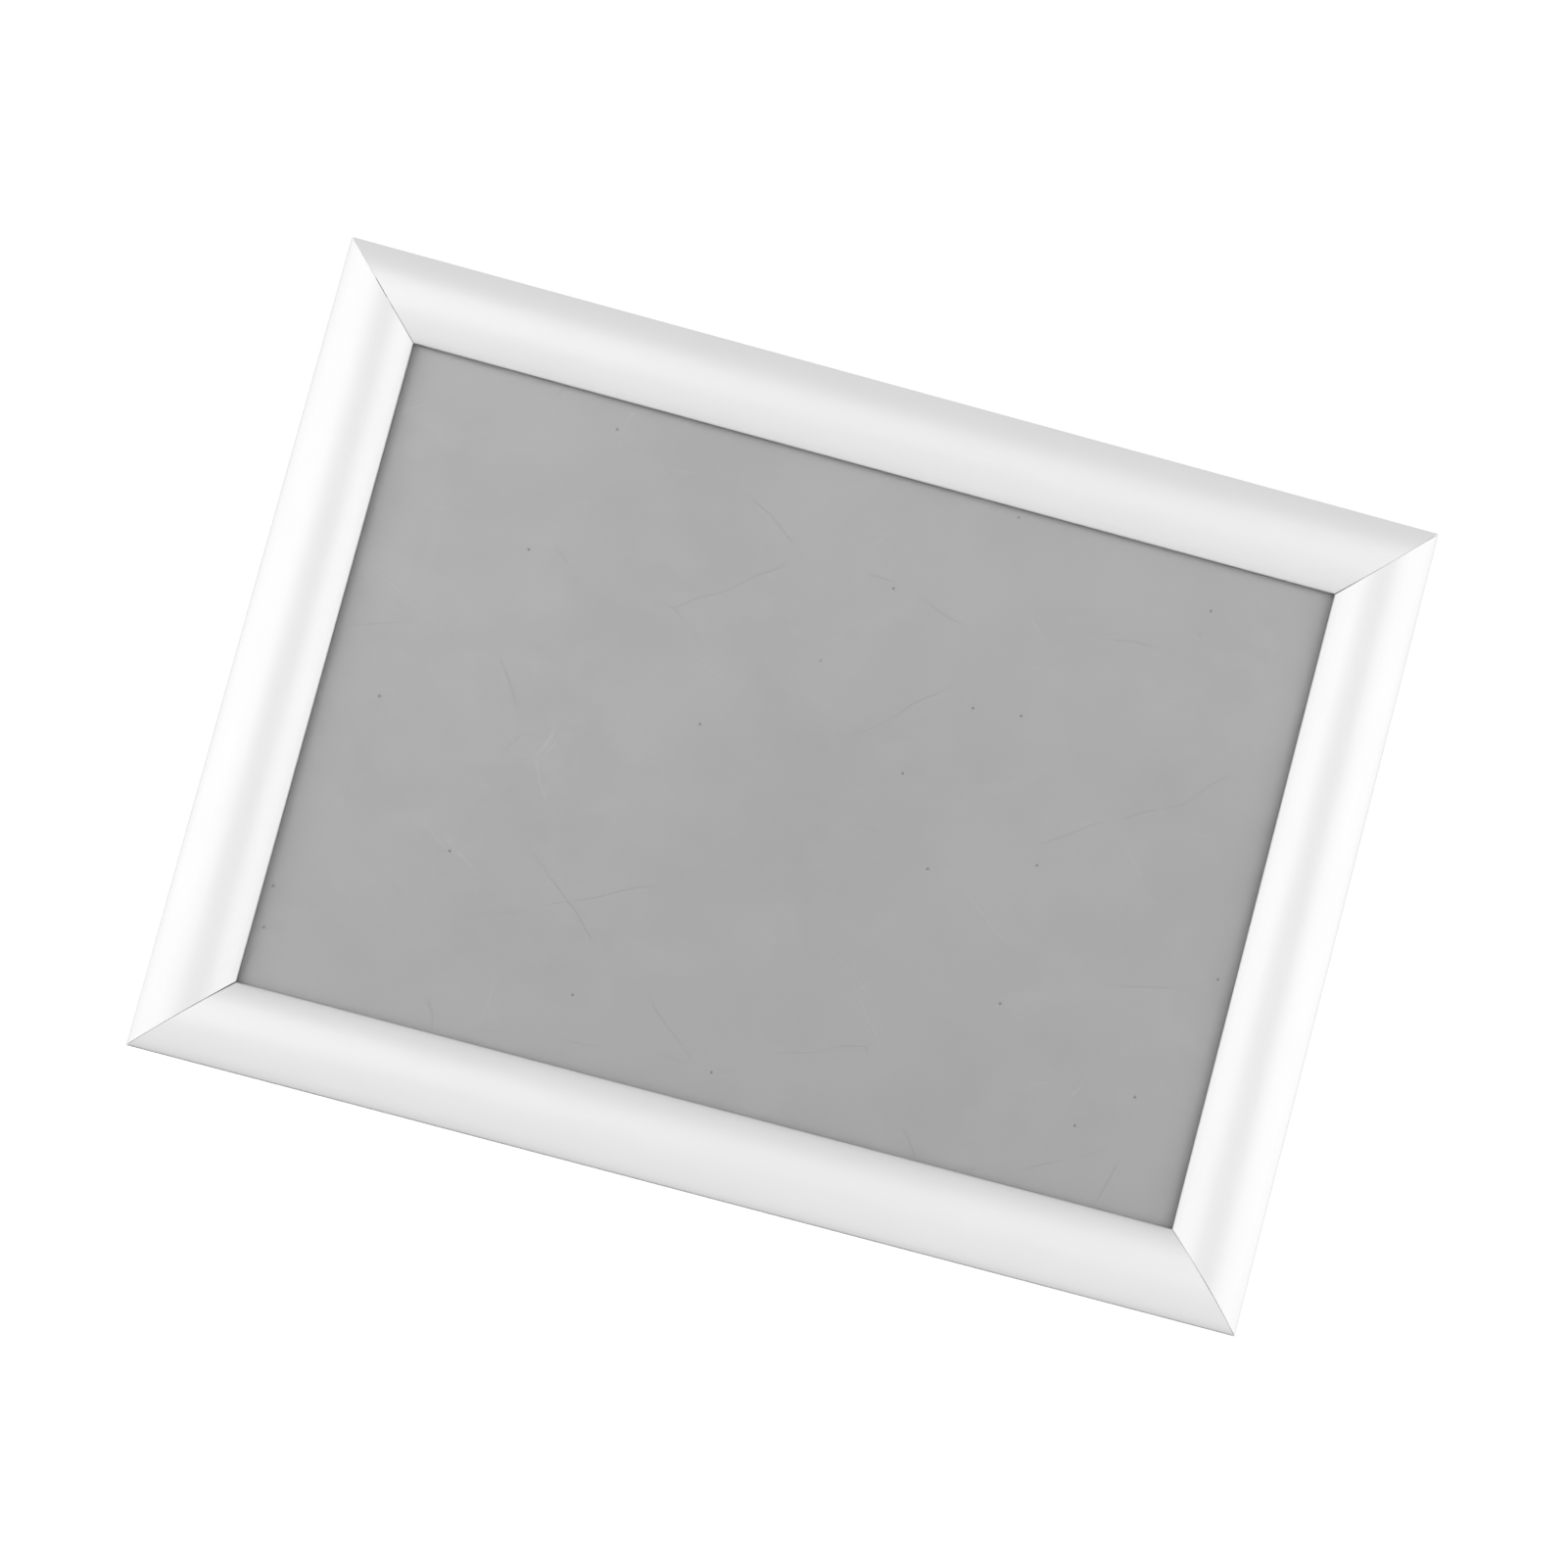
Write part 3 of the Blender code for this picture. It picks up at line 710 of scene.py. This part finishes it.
def hairlines(tree, along, across, breaks):
    """Long, slightly bent hairlines, broken where another pattern is low. They are drawn 0.4 mm wide, so
    that they show."""
    bend = add_node(tree, "ShaderNodeTexNoise", {"Vector": grain_at(tree, across, across), "Scale": 1.0})
    bent = add_node(tree, "ShaderNodeVectorMath", {
        0: bend.outputs["Color"], 1: HAIRLINE_BEND, 2: grain_at(tree, along, across)},
        operation="MULTIPLY_ADD").outputs[0]
    cells = add_node(tree, "ShaderNodeTexVoronoi", {
        "Vector": bent, "Scale": 1.0}, feature="DISTANCE_TO_EDGE", voronoi_dimensions="2D")
    distance = cells.outputs["Distance"]
    lines = shade_between(tree, distance, HAIRLINE_REACH / across, HAIRLINE_CORE / across)
    whole = shade_between(tree, breaks, 0.50, 0.58)
    return add_node(tree, "ShaderNodeMath", {0: lines, 1: whole}, operation="MULTIPLY").outputs[0]


def scaled(colour, share):
    """A colour with its brightness scaled."""
    return tuple(part * share for part in colour)


def anodised_aluminium(finishes):
    """Extruded aluminium, etched and anodised silver: a satin, almost white metal whose highlights
    are broad and soft, with faint lines drawn out by the die and a slightly cloudy oxide."""
    material, tree, shader = new_finish("satin_anodised_aluminium", {"Metallic": 1.0})
    # Die lines are 0.05 mm apart on the real rail and are drawn 0.3 mm apart, so that they show
    lines = add_node(tree, "ShaderNodeTexNoise", {
        "Vector": grain_at(tree, 180, 0.3), "Scale": 1.0, "Detail": 2.0})
    clouds = add_node(tree, "ShaderNodeTexNoise", {
        "Vector": grain_at(tree, 30, 9), "Scale": 1.0, "Detail": 3.0})
    colour = tuple(finishes.anodised)
    tint = tint_by(tree, clouds.outputs["Fac"], scaled(colour, 0.975), scaled(colour, 1.02))
    tree.links.new(tint, shader.inputs["Base Color"])
    rough = finishes.anodised_roughness
    gloss = shade_by(tree, lines.outputs["Fac"], rough - 0.05, rough + 0.05)
    tree.links.new(gloss, shader.inputs["Roughness"])
    bump = add_node(tree, "ShaderNodeBump", {
        "Height": lines.outputs["Fac"], "Strength": 0.12, "Distance": 0.00004})
    tree.links.new(bump.outputs["Normal"], shader.inputs["Normal"])
    return material


def mill_aluminium(finishes):
    """Aluminium as it leaves the press: greyer and streakier than the covers, with plain die lines."""
    material, tree, shader = new_finish("mill_finish_aluminium", {"Metallic": 1.0})
    # Die lines are 0.1 mm apart on the real rail and are drawn 0.35 mm apart, so that they show
    lines = add_node(tree, "ShaderNodeTexNoise", {
        "Vector": grain_at(tree, 90, 0.35, 0.35), "Scale": 1.0, "Detail": 3.0})
    oxide = add_node(tree, "ShaderNodeTexNoise", {
        "Vector": grain_at(tree, 40, 5, 5), "Scale": 1.0, "Detail": 4.0})
    colour = tuple(finishes.mill)
    tint = tint_by(tree, oxide.outputs["Fac"], scaled(colour, 0.86), scaled(colour, 1.05))
    tree.links.new(tint, shader.inputs["Base Color"])
    tree.links.new(shade_by(tree, lines.outputs["Fac"], 0.28, 0.52), shader.inputs["Roughness"])
    bump = add_node(tree, "ShaderNodeBump", {
        "Height": lines.outputs["Fac"], "Strength": 0.35, "Distance": 0.00006})
    tree.links.new(bump.outputs["Normal"], shader.inputs["Normal"])
    return material


def spring_steel(finishes):
    """Rolled and tempered spring strip: dark, smooth and a little blue, with fine rolling lines."""
    material, tree, shader = new_finish("tempered_spring_steel", {"Metallic": 1.0})
    # Rolling lines are 0.05 mm apart on real strip and are drawn 0.2 mm apart, so that they show
    lines = add_node(tree, "ShaderNodeTexNoise", {
        "Vector": grain_at(tree, 0.2, 14, 14), "Scale": 1.0, "Detail": 2.0})
    temper = add_node(tree, "ShaderNodeTexNoise", {
        "Vector": grain_at(tree, 8, 5, 5), "Scale": 1.0, "Detail": 2.0})
    colour = tuple(finishes.spring_steel)
    straw = (colour[0] * 1.08, colour[1] * 1.02, colour[2] * 0.88)
    tint = tint_by(tree, temper.outputs["Fac"], scaled(colour, 0.9), straw)
    tree.links.new(tint, shader.inputs["Base Color"])
    tree.links.new(shade_by(tree, lines.outputs["Fac"], 0.2, 0.38), shader.inputs["Roughness"])
    return material


def zinc_plate(finishes):
    """Stamped steel, barrel-plated with zinc: pale, slightly blue, and dulled in small patches."""
    material, tree, shader = new_finish("zinc_plated_steel", {"Metallic": 1.0})
    # Barrel marks are about 0.8 mm across
    patches = add_node(tree, "ShaderNodeTexVoronoi", {
        "Vector": grain_at(tree, 0.8, 0.8, 0.8), "Scale": 1.0})
    dulling = add_node(tree, "ShaderNodeTexNoise", {
        "Vector": grain_at(tree, 4, 4, 4), "Scale": 1.0, "Detail": 4.0})
    colour = tuple(finishes.zinc)
    tint = tint_by(tree, dulling.outputs["Fac"], scaled(colour, 0.85), scaled(colour, 1.04))
    tree.links.new(tint, shader.inputs["Base Color"])
    tree.links.new(shade_by(tree, patches.outputs["Distance"], 0.26, 0.44), shader.inputs["Roughness"])
    return material


def grey_polystyrene(finishes):
    """Extruded high-impact polystyrene sheet: an even matt grey with a very fine leathery grain, and a
    few hairline scratches that look darker."""
    material, tree, shader = new_finish("matt_grey_polystyrene", {"Roughness": 0.62, "IOR": 1.59})
    # The roller's grain is 0.2 mm and is drawn at 0.4 mm, so that it shows
    skin = add_node(tree, "ShaderNodeTexNoise", {
        "Vector": grain_at(tree, 0.4, 0.4), "Scale": 1.0, "Detail": 2.0})
    mottle = add_node(tree, "ShaderNodeTexNoise", {
        "Vector": grain_at(tree, 60, 60), "Scale": 1.0, "Detail": 4.0})
    colour = tuple(finishes.polystyrene)
    clouds = shade_between(tree, mottle.outputs["Fac"], 0.35, 0.65)
    tint = tint_by(tree, clouds, scaled(colour, 0.965), scaled(colour, 1.035))
    breaks = add_node(tree, "ShaderNodeTexNoise", {"Vector": grain_at(tree, 24, 24), "Scale": 1.0})
    scratches = hairlines(tree, 70, 40, breaks.outputs["Fac"])
    scratched = marked_by(tree, tint, scratches, scaled(colour, 0.9))
    tree.links.new(scratched, shader.inputs["Base Color"])
    bump = add_node(tree, "ShaderNodeBump", {
        "Height": skin.outputs["Fac"], "Strength": 0.2, "Distance": 0.00002})
    tree.links.new(bump.outputs["Normal"], shader.inputs["Normal"])
    return material


def anti_glare_film(finishes):
    """Clear PET with one etched face: it hardly shows, and turns reflections into a faint haze. Handling
    has left finger smears, a few hairline scuffs and specks of dust."""
    haze = finishes.film_haze
    material, tree, shader = new_finish("anti_glare_pet", {"Roughness": 0.45, "IOR": 1.57})
    # The etched grain is 0.05 mm and is drawn at 0.4 mm, so that it shows
    etch = add_node(tree, "ShaderNodeTexNoise", {
        "Vector": grain_at(tree, 0.4, 0.4), "Scale": 1.0, "Detail": 2.0})
    smears = add_node(tree, "ShaderNodeTexNoise", {
        "Vector": grain_at(tree, 26, 18), "Scale": 1.0,
        "Detail": 5.0, "Roughness": 0.6, "Distortion": 0.8})
    scuffs = hairlines(tree, 60, 32, smears.outputs["Fac"])
    # Specks are 0.3 mm across and are drawn at 0.8 mm, so that they show. One cell in ten has one
    spots = add_node(tree, "ShaderNodeTexVoronoi", {
        "Vector": grain_at(tree, DUST_CELL, DUST_CELL), "Scale": 1.0}, voronoi_dimensions="2D")
    lot = add_node(tree, "ShaderNodeSeparateColor", {0: spots.outputs["Color"]}).outputs["Red"]
    specks = shade_between(tree, spots.outputs["Distance"], DUST_REACH / DUST_CELL, DUST_CORE / DUST_CELL)
    chosen = shade_between(tree, lot, 0.89, 0.91)
    dust = add_node(tree, "ShaderNodeMath", {0: specks, 1: chosen}, operation="MULTIPLY").outputs[0]
    colour = tuple(finishes.film)
    tint = tint_by(tree, etch.outputs["Fac"], scaled(colour, 0.97), colour)
    spotted = marked_by(tree, tint, dust, linear(DUST_COLOUR))
    tree.links.new(spotted, shader.inputs["Base Color"])
    wiped = shade_between(tree, smears.outputs["Fac"], 0.3, 0.7)
    smeared = shade_by(tree, wiped, haze - SMEAR_HAZE, haze + SMEAR_HAZE)
    scuffed = add_node(tree, "ShaderNodeMath", {
        0: scuffs, 1: SCUFF_HAZE, 2: smeared}, operation="MULTIPLY_ADD").outputs[0]
    hidden = add_node(tree, "ShaderNodeMath", {
        0: dust, 1: DUST_HAZE, 2: scuffed}, operation="MULTIPLY_ADD").outputs[0]
    tree.links.new(hidden, shader.inputs["Alpha"])
    bump = add_node(tree, "ShaderNodeBump", {
        "Height": etch.outputs["Fac"], "Strength": 0.2, "Distance": 0.00001})
    tree.links.new(bump.outputs["Normal"], shader.inputs["Normal"])
    return material


def soft_lamp(name, place, size, power, mirrored=True):
    """A square softbox that faces the frame, and shows in its metal or not."""
    data = bpy.data.lights.new(name, "AREA")
    data.size = size
    data.energy = power
    lamp = bpy.data.objects.new(name, data)
    lamp.location = place
    lamp.visible_glossy = mirrored
    lamp.rotation_mode = "QUATERNION"
    lamp.rotation_quaternion = (-place).to_track_quat("-Z", "Y")
    bpy.context.scene.collection.objects.link(lamp)


def light_room(studio):
    """White room: the camera sees plain white, metal reflects a white room with a duller ceiling."""
    world = bpy.data.worlds.new("white_room")
    bpy.context.scene.world = world
    world.use_nodes = True
    tree = world.node_tree
    tree.nodes.clear()
    paths = add_node(tree, "ShaderNodeLightPath")
    direction = add_node(tree, "ShaderNodeTexCoord").outputs["Generated"]
    height = add_node(tree, "ShaderNodeSeparateXYZ", {0: direction}).outputs["Z"]
    ceiling = add_node(tree, "ShaderNodeMapRange", {
        "Value": height, "To Min": WALL_GLOW, "To Max": CEILING_GLOW}).outputs["Result"]
    seen = add_node(tree, "ShaderNodeBackground", {"Color": WHITE, "Strength": 1.0})
    mirrored = add_node(tree, "ShaderNodeBackground", {"Color": WHITE, "Strength": ceiling})
    ambient = add_node(tree, "ShaderNodeBackground", {"Color": WHITE, "Strength": studio.ambient})
    through = add_node(tree, "ShaderNodeMath", {
        0: paths.outputs["Is Glossy Ray"], 1: paths.outputs["Is Transmission Ray"]}, operation="MAXIMUM")
    rest = add_node(tree, "ShaderNodeMixShader", {
        0: through.outputs[0], 1: ambient.outputs[0], 2: mirrored.outputs[0]})
    mixed = add_node(tree, "ShaderNodeMixShader", {
        0: paths.outputs["Is Camera Ray"], 1: rest.outputs[0], 2: seen.outputs[0]})
    add_node(tree, "ShaderNodeOutputWorld", {"Surface": mixed.outputs[0]})


def white_floor():
    """Painted floor: matt white, lifted to plain white where nothing shades it. Metal reflects it as
    plain white too, but for a painted shadow: a dark field behind the frame that only reflections show."""
    material = bpy.data.materials.new("white_painted_floor")
    material.use_nodes = True
    tree = material.node_tree
    tree.nodes.clear()
    paths = add_node(tree, "ShaderNodeLightPath")
    place = add_node(tree, "ShaderNodeNewGeometry").outputs["Position"]
    offset = add_node(tree, "ShaderNodeVectorMath", {
        0: place, 1: SHADE_MIDDLE}, operation="SUBTRACT").outputs[0]
    distance = add_node(tree, "ShaderNodeVectorMath", {0: offset}, operation="ABSOLUTE").outputs[0]
    outside = add_node(tree, "ShaderNodeVectorMath", {
        0: distance, 1: SHADE_REACH}, operation="SUBTRACT").outputs[0]
    ways = add_node(tree, "ShaderNodeSeparateXYZ", {0: outside}).outputs
    beyond = add_node(tree, "ShaderNodeMath", {0: ways["X"], 1: ways["Y"]}, operation="MAXIMUM").outputs[0]
    lift = add_node(tree, "ShaderNodeMath", {
        0: paths.outputs["Is Camera Ray"], 1: FLOOR_LIFT}, operation="MULTIPLY").outputs[0]
    # The field's glow falls to SHADE_GLOW: a painted shadow that only glossy rays see
    rim = {"Value": beyond, "From Max": SHADE_EDGE, "To Min": SHADE_GLOW, "To Max": FLOOR_GLOW}
    glow = add_node(tree, "ShaderNodeMapRange", rim).outputs["Result"]
    paint = add_node(tree, "ShaderNodeBsdfDiffuse", {"Color": (*linear(FLOOR_PAINT), 1)})
    lifted = add_node(tree, "ShaderNodeEmission", {"Color": WHITE, "Strength": lift})
    seen = add_node(tree, "ShaderNodeAddShader", {0: paint.outputs[0], 1: lifted.outputs[0]})
    mirrored = add_node(tree, "ShaderNodeEmission", {"Color": WHITE, "Strength": glow})
    floor = add_node(tree, "ShaderNodeMixShader", {
        0: paths.outputs["Is Glossy Ray"], 1: seen.outputs[0], 2: mirrored.outputs[0]})
    add_node(tree, "ShaderNodeOutputMaterial", {"Surface": floor.outputs[0]})
    return material


def lay_floor(studio):
    """A wide floor, well under the frame."""
    half = FLOOR_SIZE / 2
    mesh = bpy.data.meshes.new("studio_floor")
    corners = [(-half, -half, 0), (half, -half, 0), (half, half, 0), (-half, half, 0)]
    mesh.from_pydata(corners, [], [(0, 1, 2, 3)])
    mesh.materials.append(white_floor())
    floor = bpy.data.objects.new("studio_floor", mesh)
    floor.location.z = -studio.floor_drop
    bpy.context.scene.collection.objects.link(floor)


def place_camera(studio):
    """The camera, fitted to the photo: in front of the frame, and tilted, so that the frame looks askew."""
    data = bpy.data.cameras.new("camera")
    data.lens = studio.lens
    camera = bpy.data.objects.new("camera", data)
    camera.location = CAMERA_PLACE
    camera.rotation_mode = "QUATERNION"
    camera.rotation_quaternion = CAMERA_LOOK.to_track_quat("-Z", "Y") @ Quaternion((0, 0, 1), CAMERA_ROLL)
    bpy.context.scene.collection.objects.link(camera)
    bpy.context.scene.camera = camera


class SNAPFRAME_OT_covers(Operator):
    """Make the four arched covers, each with its hinge bead, from anodised aluminium"""

    bl_idname = "snap_frame.covers"
    bl_label = "Covers"

    def execute(self, context):
        sizes = context.scene.snap_frame_sizes
        material = anodised_aluminium(context.scene.snap_frame_finishes)
        far_corners = [corner for _, _, _, corner in SIDES.values()]
        near_corners = far_corners[1:] + far_corners[:1]
        for (side, (_, length, _, far)), near in zip(SIDES.items(), near_corners):
            gaps = {-1: JOINT_GAPS[near], 1: JOINT_GAPS[far]}

            def mitre(across, end, length=length, gaps=gaps):
                relief = math.exp(-max(0.0, across) / SKIN_THICKNESS) * sizes.outer_relief
                return length / 2 - across - joint_gap(gaps[end], across) * sizes.joint_opening / 2 - relief

            def square(across, end, half=length / 2 - BEAD_INSET):
                return half

            skin = sawn_bar(f"cover_rail_{side}", skin_outline(), mitre, sizes.arris)
            bead = sawn_bar("bead", bead_outline(), square, sizes.arris)
            mesh = combined(skin, [bead], "UNION")
            node = f"cover_{side}"
            item = piece(mesh.name, mesh, round_the_rail, side_matrix(side), material, node)
            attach(item, f"flap_{side}")
        return {"FINISHED"}


class SNAPFRAME_OT_bases(Operator):
    """Make the four base rails, drilled for wall screws at the top and the bottom"""

    bl_idname = "snap_frame.bases"
    bl_label = "Base rails"

    def execute(self, context):
        sizes = context.scene.snap_frame_sizes
        material = mill_aluminium(context.scene.snap_frame_finishes)
        for side, (_, length, _, _) in SIDES.items():
            def mitre(across, end, half=length / 2 - BASE_MITRE_GAP):
                return half - across

            mesh = sawn_bar(f"base_rail_{side}", base_outline(sizes.die_radius), mitre, sizes.arris)
            if side in SCREWED_SIDES:
                mesh = combined(mesh, screw_drills(length), "DIFFERENCE")
            node = f"base_{side}"
            item = piece(mesh.name, mesh, down_the_rail, side_matrix(side), material, node)
            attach(item, "frame")
        return {"FINISHED"}


class SNAPFRAME_OT_springs(Operator):
    """Make the eight leaf springs that press the covers shut"""

    bl_idname = "snap_frame.springs"
    bl_label = "Leaf springs"

    def execute(self, context):
        sizes = context.scene.snap_frame_sizes
        material = spring_steel(context.scene.snap_frame_finishes)
        for side, (_, length, _, _) in SIDES.items():
            place = side_matrix(side)
            for number, way in enumerate((-1, 1), start=1):
                node = f"spring_{side}_{number}"
                mesh = leaf_spring(f"leaf_{node}", sizes)
                spot = place @ Matrix.Translation((0, 0, way * (length / 2 - SPRING_INSET)))
                item = piece(mesh.name, mesh, down_the_rail, spot, material, node)
                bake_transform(item)
        return {"FINISHED"}


class SNAPFRAME_OT_keys(Operator):
    """Make the four stamped corner keys that hold the base rails together"""

    bl_idname = "snap_frame.keys"
    bl_label = "Corner keys"

    def execute(self, context):
        sizes = context.scene.snap_frame_sizes
        material = zinc_plate(context.scene.snap_frame_finishes)
        for side, (_, length, _, corner) in SIDES.items():
            mesh = corner_key(f"key_{corner}", sizes)
            lay_down(mesh, (0, KEY_BOTTOM, length / 2))
            node = f"corner_key_{corner}"
            item = piece(mesh.name, mesh, down_the_rail, side_matrix(side), material, node)
            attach(item, "frame")
        return {"FINISHED"}


class SNAPFRAME_OT_sheets(Operator):
    """Make the grey back panel and the clear front sheet"""

    bl_idname = "snap_frame.sheets"
    bl_label = "Panel and front sheet"

    def execute(self, context):
        sizes = context.scene.snap_frame_sizes
        finishes = context.scene.snap_frame_finishes
        for name, low, high, material, node in (
            ("backing_panel", PANEL_LOW, PANEL_HIGH, grey_polystyrene(finishes), "back_panel"),
            ("anti_glare_sheet", SHEET_LOW, SHEET_HIGH, anti_glare_film(finishes), "front_sheet"),
        ):
            mesh = flat_sheet(name, low, high, sizes.sheet_corner)
            item = piece(name, mesh, over_the_sheet, Matrix.Identity(4), material, node)
            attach(item, "frame")
        return {"FINISHED"}


class SNAPFRAME_OT_studio(Operator):
    """Set up the white room, the floor, the lamps and the camera"""

    bl_idname = "snap_frame.studio"
    bl_label = "Studio"

    def execute(self, context):
        studio = context.scene.snap_frame_studio
        light_room(studio)
        for side, fill_power in (("left", studio.left_fill_power), ("right", studio.right_fill_power)):
            soft_lamp(f"{side}_softbox", SIDE_LAMP_PLACES[side], SIDE_LAMP_SIZE, studio.side_power)
            soft_lamp(f"{side}_fill", FILL_LAMP_PLACES[side], FILL_LAMP_SIZE, fill_power, mirrored=False)
        soft_lamp("front_softbox", FRONT_LAMP_PLACE, FRONT_LAMP_SIZE, studio.front_power)
        lay_floor(studio)
        place_camera(studio)
        context.scene.view_settings.view_transform = "Standard"
        return {"FINISHED"}


class SNAPFRAME_PT_looks(Panel):
    """Sidebar panel with the frame's pieces, sizes, finishes and light"""

    bl_idname = "SNAPFRAME_PT_looks"
    bl_label = "Snap Frame"
    bl_space_type = "VIEW_3D"
    bl_region_type = "UI"
    bl_category = "Snap Frame"

    def draw(self, context):
        layout = self.layout
        for operator in OPERATORS:
            layout.operator(operator.bl_idname)
        for name in GROUPS:
            group = getattr(context.scene, name)
            column = layout.column(align=True)
            for field in group.bl_rna.properties.keys():
                if field not in ("rna_type", "name"):
                    column.prop(group, field)


OPERATORS = (
    SNAPFRAME_OT_covers,
    SNAPFRAME_OT_bases,
    SNAPFRAME_OT_springs,
    SNAPFRAME_OT_keys,
    SNAPFRAME_OT_sheets,
    SNAPFRAME_OT_studio,
)
GROUPS = {
    "snap_frame_sizes": SnapFrameSizes,
    "snap_frame_finishes": SnapFrameFinishes,
    "snap_frame_studio": SnapFrameStudio,
}


def register():
    """Register the property groups, the operators and the panel."""
    for name, group in GROUPS.items():
        bpy.utils.register_class(group)
        setattr(bpy.types.Scene, name, PointerProperty(type=group))
    for item in (*OPERATORS, SNAPFRAME_PT_looks):
        bpy.utils.register_class(item)


def unregister():
    """Take everything out again."""
    for item in (SNAPFRAME_PT_looks, *reversed(OPERATORS)):
        bpy.utils.unregister_class(item)
    for name, group in reversed(GROUPS.items()):
        delattr(bpy.types.Scene, name)
        bpy.utils.unregister_class(group)


def main():
    """Build every piece and the studio."""
    register()
    bpy.ops.snap_frame.covers()
    bpy.ops.snap_frame.bases()
    bpy.ops.snap_frame.springs()
    bpy.ops.snap_frame.keys()
    bpy.ops.snap_frame.sheets()
    bpy.ops.snap_frame.studio()


if __name__ == "__main__":
    main()
